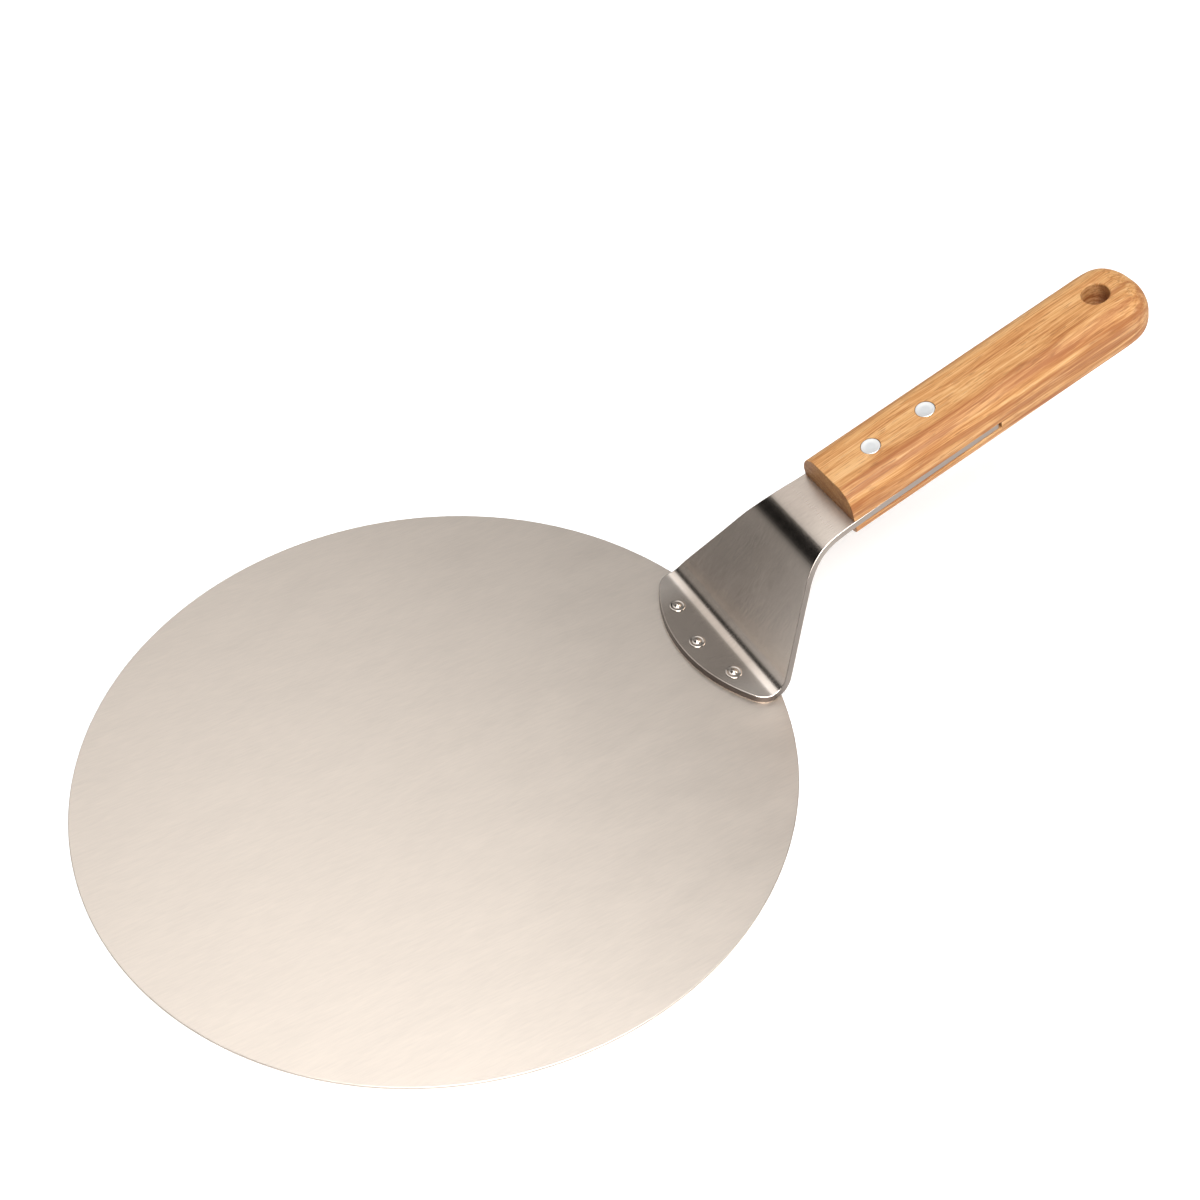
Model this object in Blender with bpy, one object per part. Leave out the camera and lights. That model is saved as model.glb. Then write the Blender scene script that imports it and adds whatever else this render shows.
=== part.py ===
"""Round stainless pizza peel with a bent neck and a riveted wooden handle.

Frame: origin at the centre of the blade's underside, +X along the handle, +Z up.
Units are metres. The blade lies flat on Z = 0.
"""

import math

import bmesh
import bpy

# Blade: a flat round plate.
BLADE_RADIUS = 0.127
BLADE_THICKNESS = 0.0010
BLADE_EDGE_EASE = 0.0002

# Neck bracket: one bent sheet that makes the flange, the riser and the tang.
SHEET_THICKNESS = 0.0029
SEAT_GAP = 0.00003
SHEET_EDGE_EASE = 0.0006
FLANGE_TIP_X = 0.1008
FLANGE_ARC_RADIUS = 0.0586
FLANGE_HALF_WIDTH = 0.0368
FLANGE_CORNER_RADIUS = 0.008
FIRST_BEND_X = 0.1206
FIRST_BEND_RADIUS = 0.0070
FIRST_BEND_STEPS = 10
RISER_ANGLE = math.radians(61.4)
RISER_LENGTH = 0.0473
RISER_TAPER = 0.4525
RISER_BASE_HALF_WIDTH = 0.0378
SECOND_BEND_RADIUS = 0.0300
HANDLE_ANGLE = math.radians(18.7)
TANG_HALF_WIDTH = 0.0152
TANG_END = 0.0855
TANG_TAPER_BLEND = 0.0044
TANG_CORNER_RADIUS = 0.0008

# Handle: lengths run along the tang from the second bend's virtual corner.
HANDLE_FRONT = 0.0198
HANDLE_BUTT = 0.1607
HANDLE_HALF_WIDTH = 0.0156
HANDLE_ABOVE_TANG = 0.0119
HANDLE_BELOW_TANG = 0.0064
HANDLE_TOP_RADIUS = 0.0087
HANDLE_BOTTOM_RADIUS = 0.0053
HANDLE_FRONT_LEAN = 0.0014
HANDLE_FRONT_EASE = 0.0006
BUTT_ROUNDING = 0.0190
BUTT_SQUARENESS = 3.1
BUTT_EDGE_ROUNDING = 0.0103
SLOT_END = 0.0862
SLOT_GAP = 0.0001
HANG_HOLE_STATION = 0.1434
HANG_HOLE_RADIUS = 0.0051
HANG_HOLE_EASE = 0.0008

# Blade rivets: a low ringed head above the flange, a flush countersunk foot below.
BLADE_RIVET_PLACES = {
    "left": (0.1111, 0.0198),
    "centre": (0.1076, 0.0),
    "right": (0.1111, -0.0198),
}
BLADE_RIVET_HEAD_RADIUS = 0.0031
BLADE_RIVET_SHANK_RADIUS = 0.0016
BLADE_RIVET_FOOT_RADIUS = 0.0024
BLADE_RIVET_FOOT_RECESS = 0.00005

# Handle rivets: a headed tube and a headed pin pressed together, both heads flush.
HANDLE_RIVET_STATIONS = {"front": 0.0408, "rear": 0.0653}
HANDLE_RIVET_HEAD_RADIUS = 0.0037
HANDLE_RIVET_HEAD_THICKNESS = 0.0012
HANDLE_RIVET_HEAD_RECESS = 0.00005
HANDLE_RIVET_TUBE_RADIUS = 0.0025
HANDLE_RIVET_PIN_RADIUS = 0.0015
HOLE_GAP = 0.0001

FLANGE_TOP = BLADE_THICKNESS + SEAT_GAP + SHEET_THICKNESS


def clear_scene():
    for obj in list(bpy.data.objects):
        bpy.data.objects.remove(obj, do_unlink=True)


def make_material(name, colour, roughness, metallic):
    material = bpy.data.materials.new(name)
    material.use_nodes = True
    shader = material.node_tree.nodes["Principled BSDF"]
    shader.inputs["Base Color"].default_value = (*colour, 1.0)
    shader.inputs["Roughness"].default_value = roughness
    shader.inputs["Metallic"].default_value = metallic
    material.diffuse_color = (*colour, 1.0)
    return material


def make_object(name, points, faces, material=None, smooth=True):
    mesh = bpy.data.meshes.new(name)
    mesh.from_pydata(points, [], faces)
    edit = bmesh.new()
    edit.from_mesh(mesh)
    bmesh.ops.recalc_face_normals(edit, faces=edit.faces)
    edit.to_mesh(mesh)
    edit.free()
    if smooth:
        mesh.shade_smooth()
        mesh.set_sharp_from_angle(angle=math.radians(32))
    if material:
        mesh.materials.append(material)
    obj = bpy.data.objects.new(name, mesh)
    bpy.context.scene.collection.objects.link(obj)
    return obj


def make_frame(name, location=(0, 0, 0), rotation=(0, 0, 0)):
    frame = bpy.data.objects.new(name, None)
    frame.location = location
    frame.rotation_euler = rotation
    frame.empty_display_size = 0.02
    bpy.context.scene.collection.objects.link(frame)
    return frame


def lathe(profile, segments):
    """Points and faces of a solid turned about Z; the profile starts and ends on the axis."""
    points = [(0, 0, profile[0][1])]
    rings = []
    for radius, height in profile[1:-1]:
        rings.append(len(points))
        for i in range(segments):
            turn = 2 * math.pi * i / segments
            points.append((radius * math.cos(turn), radius * math.sin(turn), height))
    last = len(points)
    points.append((0, 0, profile[-1][1]))
    faces = []
    for i in range(segments):
        j = (i + 1) % segments
        faces.append((0, rings[0] + j, rings[0] + i))
        for low, high in zip(rings, rings[1:]):
            faces.append((low + i, low + j, high + j, high + i))
        faces.append((rings[-1] + i, rings[-1] + j, last))
    return points, faces


def cut(target, cutter):
    cutter.hide_render = True
    cutter.display_type = "WIRE"
    boolean = target.modifiers.new(cutter.name, "BOOLEAN")
    boolean.operation = "DIFFERENCE"
    boolean.solver = "EXACT"
    boolean.object = cutter


def blade_disc(material, frame):
    ease = BLADE_EDGE_EASE
    profile = [
        (0, 0),
        (BLADE_RADIUS - ease, 0),
        (BLADE_RADIUS, ease),
        (BLADE_RADIUS, BLADE_THICKNESS - ease),
        (BLADE_RADIUS - ease, BLADE_THICKNESS),
        (0, BLADE_THICKNESS),
    ]
    disc = make_object("blade_disc", *lathe(profile, 192), material)
    disc.parent = frame
    return disc


def blade_rivet_profile():
    head = BLADE_RIVET_HEAD_RADIUS
    seat = FLANGE_TOP + SEAT_GAP
    foot = BLADE_RIVET_FOOT_RECESS
    return [
        (0, foot),
        (BLADE_RIVET_FOOT_RADIUS, foot),
        (BLADE_RIVET_SHANK_RADIUS, foot + 0.0008),
        (BLADE_RIVET_SHANK_RADIUS, seat),
        (head, seat),
        (head, seat + 0.00018),
        (head * 0.92, seat + 0.00036),
        (head * 0.80, seat + 0.00042),
        (head * 0.66, seat + 0.00034),
        (head * 0.50, seat + 0.00022),
        (head * 0.40, seat + 0.00030),
        (head * 0.35, seat + 0.00060),
        (head * 0.26, seat + 0.00082),
        (head * 0.12, seat + 0.00092),
        (0, seat + 0.00094),
    ]


def blade_rivets(material, frame):
    for side, (x, y) in BLADE_RIVET_PLACES.items():
        rivet = make_object("blade_rivet_" + side, *lathe(blade_rivet_profile(), 32), material)
        rivet.location = (x, y, 0)
        rivet.parent = frame


def cut_blade_rivet_holes(disc, bracket, frame):
    """Countersunk holes in the plate and plain holes in the flange."""
    gap = HOLE_GAP
    profile = [
        (0, -0.001),
        (BLADE_RIVET_FOOT_RADIUS + gap, -0.001),
        (BLADE_RIVET_FOOT_RADIUS + gap, BLADE_RIVET_FOOT_RECESS),
        (BLADE_RIVET_SHANK_RADIUS + gap, BLADE_RIVET_FOOT_RECESS + 0.0008),
        (BLADE_RIVET_SHANK_RADIUS + gap, FLANGE_TOP + 0.001),
        (0, FLANGE_TOP + 0.001),
    ]
    for side, (x, y) in BLADE_RIVET_PLACES.items():
        cutter = make_object("hole_cutter_" + side, *lathe(profile, 32), smooth=False)
        cutter.location = (x, y, 0)
        cutter.parent = frame
        cut(disc, cutter)
        cut(bracket, cutter)


def bracket_path():
    """Sheet's top line in side view: (length along it, x, z, slope angle) at each station."""
    first = FIRST_BEND_RADIUS * math.tan(RISER_ANGLE / 2)
    turn = RISER_ANGLE - HANDLE_ANGLE
    second = SECOND_BEND_RADIUS * math.tan(turn / 2)
    x, z, angle = FLANGE_TIP_X, FLANGE_TOP, 0.0
    stations = [(0.0, x, z, angle)]

    def forward(length):
        run, x, z, angle = stations[-1]
        stations.append(
            (run + length, x + length * math.cos(angle), z + length * math.sin(angle), angle)
        )

    def bend(radius, by, steps):
        """Positive turns are up; the radius is the top line's."""
        step = by / steps
        chord = 2 * radius * math.sin(abs(step) / 2)
        for _ in range(steps):
            run, x, z, angle = stations[-1]
            middle = angle + step / 2
            stations.append(
                (
                    run + radius * abs(step),
                    x + chord * math.cos(middle),
                    z + chord * math.sin(middle),
                    angle + step,
                )
            )

    forward(FIRST_BEND_X - first - FLANGE_TIP_X)
    bend(FIRST_BEND_RADIUS, RISER_ANGLE, FIRST_BEND_STEPS)
    forward(RISER_LENGTH - first - second)
    bend(SECOND_BEND_RADIUS, -turn, 18)
    forward(TANG_END - second)
    return stations


def on_path(stations, run, depth):
    """Point in side view at a length along the top line and a depth below it."""
    for low, high in zip(stations, stations[1:]):
        if run <= high[0] + 1e-12:
            break
    share = (run - low[0]) / (high[0] - low[0])
    x, z, angle = (low[k] + (high[k] - low[k]) * share for k in (1, 2, 3))
    return x + depth * math.sin(angle), z - depth * math.cos(angle)


def flange_outline():
    """Right half of the flange's curved edge as (length, half-width), tip first."""
    big, small = FLANGE_ARC_RADIUS, FLANGE_CORNER_RADIUS
    corner_y = FLANGE_HALF_WIDTH - small
    corner_x = big - math.sqrt((big - small) ** 2 - corner_y**2)
    reach = math.atan2(corner_y, big - corner_x)
    outline = []
    for i in range(25):
        turn = reach * i / 24
        outline.append((big - big * math.cos(turn), big * math.sin(turn)))
    for i in range(1, 9):
        turn = reach + (math.pi / 2 - reach) * i / 8
        outline.append(
            (corner_x - small * math.cos(turn), corner_y + small * math.sin(turn))
        )
    return outline


def sheet_outline(stations):
    """Right half of the flat pattern, from the flange's tip to the tang's end."""
    outline = flange_outline()
    bends = [s[0] for s in stations[1:-1]]
    riser_start = bends[FIRST_BEND_STEPS]
    crease = riser_start - FIRST_BEND_RADIUS * math.tan(RISER_ANGLE / 2)
    taper_end = crease + (RISER_BASE_HALF_WIDTH - TANG_HALF_WIDTH) / RISER_TAPER
    runs = sorted(set(bends + [riser_start + 0.0015 * i for i in range(1, 6)]))
    runs += [taper_end - 0.006, taper_end - 0.003, taper_end, taper_end + 0.003, taper_end + 0.006]
    for run in sorted(runs):
        if run <= outline[-1][0] + 1e-5 or run >= stations[-1][0] - 2 * TANG_CORNER_RADIUS:
            continue
        taper = RISER_BASE_HALF_WIDTH - RISER_TAPER * (run - crease) - TANG_HALF_WIDTH
        width = TANG_HALF_WIDTH + 0.5 * (taper + math.hypot(taper, TANG_TAPER_BLEND))
        blend = 0.5 * (width + FLANGE_HALF_WIDTH - math.hypot(width - FLANGE_HALF_WIDTH, 0.0012))
        outline.append((run, blend))
    end, small = stations[-1][0], TANG_CORNER_RADIUS
    for i in range(7):
        turn = math.pi / 2 * i / 6
        outline.append(
            (
                end - small + small * math.sin(turn),
                TANG_HALF_WIDTH - small + small * math.cos(turn),
            )
        )
    return outline


def inset(outline, amount):
    """The outline moved inwards by an amount, with the same number of points."""
    moved = []
    for i, (run, width) in enumerate(outline):
        before = outline[max(i - 1, 0)]
        after = outline[min(i + 1, len(outline) - 1)]
        along, across = after[0] - before[0], after[1] - before[1]
        length = math.hypot(along, across)
        if i == 0:
            along, across, length = 0.0, 1.0, 1.0
        if i == len(outline) - 1:
            along, across, length = 0.0, -1.0, 1.0
        moved.append((run + amount * across / length, width - amount * along / length))
    moved[0] = (moved[0][0], 0.0)
    return moved


def neck_bracket(material, frame):
    stations = bracket_path()
    outline = sheet_outline(stations)
    ease = SHEET_EDGE_EASE
    levels = [
        (0.3 * ease, SHEET_THICKNESS),
        (0.0, SHEET_THICKNESS - 0.3 * ease),
        (0.0, ease),
        (0.13 * ease, 0.5 * ease),
        (0.5 * ease, 0.13 * ease),
        (ease, 0.0),
    ]
    points, rings = [], []
    count = len(outline)
    for amount, depth in levels:
        rings.append(len(points))
        edge = inset(outline, amount)
        for sign, part in ((-1, edge), (1, edge[:0:-1])):
            for run, width in part:
                x, z = on_path(stations, run, depth)
                points.append((x, sign * width, z))
    size = 2 * count - 1
    faces = []
    for low, high in zip(rings, rings[1:]):
        for i in range(size):
            j = (i + 1) % size
            faces.append((low + i, low + j, high + j, high + i))
    for ring, turned in ((rings[0], False), (rings[-1], True)):
        for i in range(count - 1):
            right, left = ring + i, ring + (size - i) % size
            next_right, next_left = ring + i + 1, ring + size - i - 1
            face = [right, next_right, next_left, left]
            if i == 0:
                face.remove(left)
            faces.append(tuple(face[::-1] if turned else face))
    bracket = make_object("neck_bracket", points, faces, material)
    bracket.parent = frame
    return bracket


def handle_section(half, above, below, top_radius, bottom_radius):
    """Closed rounded outline as (y, z) with the tang's top at z = 0, mirrored about y = 0."""
    steps = 9
    right = []
    for i in range(steps):
        turn = math.pi / 2 * i / (steps - 1)
        right.append(
            (
                half - top_radius + top_radius * math.sin(turn),
                above - top_radius + top_radius * math.cos(turn),
            )
        )
    for share in (0.33, 0.67):
        side = (above - top_radius) * (1 - share) + (bottom_radius - below) * share
        right.append((half, side))
    for i in range(steps):
        turn = math.pi / 2 * i / (steps - 1)
        right.append(
            (
                half - bottom_radius + bottom_radius * math.cos(turn),
                bottom_radius - below - bottom_radius * math.sin(turn),
            )
        )
    return right + [(-y, z) for y, z in reversed(right)]


def handle_stations():
    """(length, half-width share, height lost at the butt's rounded edge) along the handle."""
    straight = HANDLE_BUTT - BUTT_ROUNDING
    runs = [HANDLE_FRONT + HANDLE_FRONT_EASE]
    runs += [HANDLE_FRONT + (straight - HANDLE_FRONT) * i / 6 for i in range(1, 7)]
    runs += [straight + BUTT_ROUNDING * math.sin(math.pi / 2 * i / 18) for i in range(1, 18)]
    runs.append(HANDLE_BUTT - 0.0015 * BUTT_ROUNDING)
    stations = []
    for run in runs:
        share = max(0.0, (run - straight) / BUTT_ROUNDING)
        width = (1 - share**BUTT_SQUARENESS) ** (1 / BUTT_SQUARENESS)
        near = max(0.0, 1 - (HANDLE_BUTT - run) / BUTT_EDGE_ROUNDING)
        lost = 0.8 * BUTT_EDGE_ROUNDING * (1 - math.sqrt(1 - near**2))
        stations.append((run, width, lost))
    return stations


def handle_ring(run, width, lost):
    half = HANDLE_HALF_WIDTH * width
    above = HANDLE_ABOVE_TANG - lost
    below = HANDLE_BELOW_TANG + SHEET_THICKNESS - 0.8 * lost
    top_radius = min(HANDLE_TOP_RADIUS, 0.96 * half, 0.96 * above)
    bottom_radius = min(HANDLE_BOTTOM_RADIUS, 0.96 * half, 0.96 * below)
    outline = handle_section(half, above, below, top_radius, bottom_radius)
    return [(run, y, z) for y, z in outline]


def lean_front(ring, shrink):
    """Leans the front face back above the tang and shrinks its outline a little."""
    leaned = []
    for run, y, z in ring:
        back = HANDLE_FRONT_LEAN * max(z, 0) / HANDLE_ABOVE_TANG
        back += 0.35 * HANDLE_FRONT_LEAN * max(-z, 0) / HANDLE_BELOW_TANG
        leaned.append((run + back, y * (1 - shrink), z * (1 - shrink)))
    return leaned


def handle(material, frame):
    stations = handle_stations()
    rings = [lean_front(handle_ring(HANDLE_FRONT, 1.0, 0.0), 0.045)]
    rings.append(lean_front(handle_ring(*stations[0]), 0.0))
    rings += [handle_ring(*station) for station in stations[1:]]
    size = len(rings[0])
    points = [point for ring in rings for point in ring]
    faces = []
    for level in range(len(rings) - 1):
        low, high = level * size, (level + 1) * size
        for i in range(size):
            j = (i + 1) % size
            faces.append((low + i, high + i, high + j, low + j))
    last = (len(rings) - 1) * size
    for i in range(size // 2 - 1):
        faces.append((i, i + 1, size - 2 - i, size - 1 - i))
        faces.append((last + size - 1 - i, last + size - 2 - i, last + i + 1, last + i))
    grip = make_object("handle", points, faces, material)
    grip.parent = frame
    return grip


def slot_cutter(frame):
    """Sawn slot for the tang, open at the front and at both sides."""
    low, high = -SHEET_THICKNESS - SLOT_GAP, SLOT_GAP
    reach = HANDLE_HALF_WIDTH + 0.004
    front = HANDLE_FRONT - 0.004
    points = [
        (x, y, z) for x in (front, SLOT_END) for y in (-reach, reach) for z in (low, high)
    ]
    faces = [(0, 1, 3, 2), (4, 6, 7, 5), (0, 4, 5, 1), (2, 3, 7, 6), (0, 2, 6, 4), (1, 5, 7, 3)]
    cutter = make_object("slot_cutter", points, faces, smooth=False)
    cutter.parent = frame
    return cutter


def hang_hole_cutter(frame):
    radius, ease = HANG_HOLE_RADIUS, HANG_HOLE_EASE
    top = HANDLE_ABOVE_TANG
    bottom = -HANDLE_BELOW_TANG - SHEET_THICKNESS
    flare = []
    for i in range(4):
        turn = math.pi / 2 * i / 3
        flare.append((radius + ease * (1 - math.sin(turn)), ease * (1 - math.cos(turn))))
    profile = [(0, bottom - 0.001), (flare[0][0], bottom - 0.001)]
    profile += [(wide, bottom + deep) for wide, deep in flare]
    profile += [(wide, top - deep) for wide, deep in reversed(flare)]
    profile += [(flare[0][0], top + 0.001), (0, top + 0.001)]
    cutter = make_object("hang_hole_cutter", *lathe(profile, 48), smooth=False)
    cutter.location = (HANG_HOLE_STATION, 0, 0)
    cutter.parent = frame
    return cutter


def rivet_hole_cutter(name, station, frame):
    """Through hole with a counterbore for each flush head."""
    gap = HOLE_GAP
    top = HANDLE_ABOVE_TANG
    bottom = -HANDLE_BELOW_TANG - SHEET_THICKNESS
    seat = HANDLE_RIVET_HEAD_RECESS + HANDLE_RIVET_HEAD_THICKNESS + gap
    head, tube = HANDLE_RIVET_HEAD_RADIUS + gap, HANDLE_RIVET_TUBE_RADIUS + gap
    profile = [
        (0, bottom - 0.001),
        (head, bottom - 0.001),
        (head, bottom + seat),
        (tube, bottom + seat),
        (tube, top - seat),
        (head, top - seat),
        (head, top + 0.001),
        (0, top + 0.001),
    ]
    cutter = make_object("rivet_hole_cutter_" + name, *lathe(profile, 32), smooth=False)
    cutter.location = (station, 0, 0)
    cutter.parent = frame
    return cutter


def handle_rivet_halves(name, station, materials, frame):
    """Upper half is a headed tube; lower half is a headed pin that fills the tube."""
    top = HANDLE_ABOVE_TANG - HANDLE_RIVET_HEAD_RECESS
    bottom = HANDLE_RIVET_HEAD_RECESS - HANDLE_BELOW_TANG - SHEET_THICKNESS
    head, thick = HANDLE_RIVET_HEAD_RADIUS, HANDLE_RIVET_HEAD_THICKNESS
    tube, pin = HANDLE_RIVET_TUBE_RADIUS, HANDLE_RIVET_PIN_RADIUS
    bore = pin + HOLE_GAP
    ease = 0.0002
    upper = [
        (0, top - thick),
        (bore, top - thick),
        (bore, bottom + thick + 0.0002),
        (tube, bottom + thick + 0.0002),
        (tube, top - thick),
        (head, top - thick),
        (head, top - ease),
        (head - ease, top),
        (0, top),
    ]
    lower = [
        (0, bottom),
        (head - ease, bottom),
        (head, bottom + ease),
        (head, bottom + thick),
        (pin, bottom + thick),
        (pin, top - thick - 0.0010),
        (0, top - thick - 0.0010),
    ]
    for half, profile in (("tube", upper), ("pin", lower)):
        piece = make_object(
            "handle_rivet_" + name + "_" + half, *lathe(profile, 32), materials[half]
        )
        piece.location = (station, 0, 0)
        piece.parent = frame


def handle_frame():
    """Frame at the second bend's virtual corner, its X along the tang's top."""
    x = FIRST_BEND_X + RISER_LENGTH * math.cos(RISER_ANGLE)
    z = FLANGE_TOP + RISER_LENGTH * math.sin(RISER_ANGLE)
    return make_frame("handle_frame", (x, 0, z), (0, -HANDLE_ANGLE, 0))


def build():
    clear_scene()
    blade_steel = make_material("blade_steel", (0.62, 0.59, 0.55), 0.34, 1.0)
    neck_steel = make_material("neck_steel", (0.50, 0.47, 0.44), 0.30, 1.0)
    rivet_steel = make_material("rivet_steel", (0.66, 0.64, 0.60), 0.25, 1.0)
    wood = make_material("handle_wood", (0.66, 0.40, 0.18), 0.55, 0.0)
    tube_metal = make_material("handle_rivet_tube_aluminium", (0.86, 0.86, 0.84), 0.32, 1.0)
    pin_metal = make_material("handle_rivet_pin_aluminium", (0.82, 0.82, 0.80), 0.35, 1.0)

    blade_frame = make_frame("blade_frame")
    grip_frame = handle_frame()
    disc = blade_disc(blade_steel, blade_frame)
    bracket = neck_bracket(neck_steel, blade_frame)
    cut_blade_rivet_holes(disc, bracket, blade_frame)
    blade_rivets(rivet_steel, blade_frame)

    grip = handle(wood, grip_frame)
    cut(grip, slot_cutter(grip_frame))
    cut(grip, hang_hole_cutter(grip_frame))
    for name, station in HANDLE_RIVET_STATIONS.items():
        cutter = rivet_hole_cutter(name, station, grip_frame)
        cut(grip, cutter)
        cut(bracket, cutter)
        metals = {"tube": tube_metal, "pin": pin_metal}
        handle_rivet_halves(name, station, metals, grip_frame)


build()
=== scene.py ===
"""Looks for the round pizza peel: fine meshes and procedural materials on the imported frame.

Metres, +Z up, the CAD's own frame: the blade lies on Z = 0 and the handle points along +X.
"""

import math

import bmesh
import bpy
import numpy as np
from mathutils import Matrix, Vector


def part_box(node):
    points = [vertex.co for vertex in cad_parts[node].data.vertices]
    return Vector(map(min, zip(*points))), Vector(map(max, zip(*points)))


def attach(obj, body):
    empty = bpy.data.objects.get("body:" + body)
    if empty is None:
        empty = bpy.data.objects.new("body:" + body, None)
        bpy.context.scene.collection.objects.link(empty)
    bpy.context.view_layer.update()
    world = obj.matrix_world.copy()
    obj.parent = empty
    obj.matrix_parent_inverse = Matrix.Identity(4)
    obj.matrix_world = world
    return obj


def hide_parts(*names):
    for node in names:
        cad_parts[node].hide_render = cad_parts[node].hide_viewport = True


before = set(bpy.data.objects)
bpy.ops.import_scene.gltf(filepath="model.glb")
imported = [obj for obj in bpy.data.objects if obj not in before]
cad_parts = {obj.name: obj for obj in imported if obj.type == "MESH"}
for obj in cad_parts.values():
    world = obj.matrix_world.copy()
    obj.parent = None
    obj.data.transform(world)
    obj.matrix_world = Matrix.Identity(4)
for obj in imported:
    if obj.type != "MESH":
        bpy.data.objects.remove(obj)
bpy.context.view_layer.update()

# Neck bracket, one bent sheet. These repeat the CAD's own values.
SEAT_GAP = 0.00003
SHEET_THICKNESS = 0.0029
FLANGE_ARC_RADIUS = 0.0586
FLANGE_HALF_WIDTH = 0.0368
FLANGE_CORNER_RADIUS = 0.008
FIRST_BEND_X = 0.1206
FIRST_BEND_RADIUS = 0.0070
RISER_ANGLE = math.radians(61.4)
RISER_LENGTH = 0.0473
RISER_TAPER = 0.4525
RISER_BASE_HALF_WIDTH = 0.0378
SECOND_BEND_RADIUS = 0.0300
HANDLE_ANGLE = math.radians(18.7)
TANG_HALF_WIDTH = 0.0152
TANG_END = 0.0855
TANG_TAPER_BLEND = 0.0044
TANG_CORNER_RADIUS = 0.0008

# The neck's own values here, not the CAD's: a smoother first bend and rounder sheet edges.
FIRST_BEND_STEPS = 32
FIRST_BEND_SOFTNESS = 1.0
SHEET_TOP_EASE = 0.0004
SHEET_BOTTOM_EASE = 0.00025

# Handle, measured along the tang from the second bend's virtual corner. HANDLE_BUTT,
# HANDLE_FRONT_LEAN and HANDLE_FRONT_EASE are smaller than the CAD's.
HANDLE_FRONT = 0.0198
HANDLE_BUTT = 0.16065
HANDLE_HALF_WIDTH = 0.0156
HANDLE_ABOVE_TANG = 0.0119
HANDLE_BELOW_TANG = 0.0064
HANDLE_TOP_RADIUS = 0.0087
HANDLE_BOTTOM_RADIUS = 0.0053
HANDLE_FRONT_LEAN = 0.0012
HANDLE_FRONT_EASE = 0.0003
BUTT_ROUNDING = 0.0190
BUTT_SQUARENESS = 3.1
BUTT_EDGE_ROUNDING = 0.0103
SLOT_END = 0.0862
SLOT_GAP = 0.0001
SLOT_EDGE_EASE = 0.00015
HANG_HOLE_STATION = 0.1434
HANG_HOLE_RADIUS = 0.0051
HANG_HOLE_EASE = 0.0008

# Rivets.
BLADE_RIVET_SHANK_RADIUS = 0.0016
BLADE_RIVET_FOOT_RADIUS = 0.0024
BLADE_RIVET_FOOT_DEPTH = 0.0008
HANDLE_RIVET_STATIONS = {"front": 0.0408, "rear": 0.0653}
HANDLE_RIVET_HEAD_RADIUS = 0.0037
HANDLE_RIVET_HEAD_THICKNESS = 0.0012
HANDLE_RIVET_HEAD_RECESS = 0.00005
HANDLE_RIVET_HEAD_DISH = 0.00012
HANDLE_RIVET_TUBE_RADIUS = 0.0025
HANDLE_RIVET_PIN_RADIUS = 0.0015
HOLE_GAP = 0.0001

# Camera at the photograph's place.
CAMERA_PLACE = (-0.128324, -0.342353, 0.438041)
CAMERA_TURN = (0.787842, 0.0, -0.515745)
CAMERA_LENS = 48.0
FLOOR_DROP = 0.0002
FLOOR_HALF_SIZE = 6.0

# Studio: the room's grey tones as (sine of the height, tone), and softboxes as
# (name, place, aim, size, radiance). The overhead ones overlap, so that their light fades out.
ROOM_TONES = [(-1, 1.1), (-0.40, 1.1), (-0.14, 0.26), (0.0, 0.28), (0.40, 0.34), (0.50, 0.004)]
SOFTBOXES = [
    ("overhead_main", (-0.03, 0.80, 1.50), (-0.03, 0.80, 0), (1.24, 2.4), 0.555),
    ("overhead_wide", (0.24, 0.80, 1.54), (0.24, 0.80, 0), (1.78, 2.4), 0.33),
    ("overhead_near", (-0.06, 0.0, 1.46), (-0.06, 0.0, 0), (1.16, 1.92), 0.34),
    ("key", (-0.10, -0.72, 1.3), (-0.05, -0.25, 0), (1.1, 1.15), 6.2),
    ("right_fill", (1.3, -1.5, 0.8), (0.2, 0, 0), (1.4, 0.9), 1.3),
    ("left_card", (-1.77, 0.62, 0.35), (0.13, 0, 0.05), (1.0, 1.1), 0.40),
]


def build_object(name, points, faces):
    mesh = bpy.data.meshes.new(name)
    mesh.from_pydata(points, [], faces)
    edit = bmesh.new()
    edit.from_mesh(mesh)
    bmesh.ops.recalc_face_normals(edit, faces=edit.faces)
    edit.to_mesh(mesh)
    edit.free()
    obj = bpy.data.objects.new(name, mesh)
    bpy.context.scene.collection.objects.link(obj)
    return obj


def carve(target, cutters):
    """Cuts the cutters out of the target for good and removes them."""
    for cutter in cutters:
        boolean = target.modifiers.new(cutter.name, "BOOLEAN")
        boolean.operation = "DIFFERENCE"
        boolean.solver = "EXACT"
        boolean.object = cutter
    bpy.context.view_layer.update()
    graph = bpy.context.evaluated_depsgraph_get()
    carved = bpy.data.meshes.new_from_object(target.evaluated_get(graph))
    target.modifiers.clear()
    target.data = carved
    for cutter in cutters:
        bpy.data.objects.remove(cutter)


def bake(obj):
    """Puts the placement into the mesh, and keeps each point's own place as an attribute."""
    mesh = obj.data
    places = np.empty(len(mesh.vertices) * 3, np.float32)
    mesh.vertices.foreach_get("co", places)
    mesh.attributes.new("own", "FLOAT_VECTOR", "POINT").data.foreach_set("vector", places)
    mesh.transform(obj.matrix_basis)
    obj.matrix_basis = Matrix.Identity(4)


def shade(obj, material, sharp_angle=35):
    """Smooth shading that keeps flat faces flat, and the piece's material."""
    obj.data.shade_smooth()
    obj.data.set_sharp_from_angle(angle=math.radians(sharp_angle))
    weighted = obj.modifiers.new("flat faces stay flat", "WEIGHTED_NORMAL")
    weighted.keep_sharp = True
    weighted.weight = 100
    obj.data.materials.clear()
    obj.data.materials.append(material)


def stand_for(obj, node):
    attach(obj, "root")
    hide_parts(node)


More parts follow.
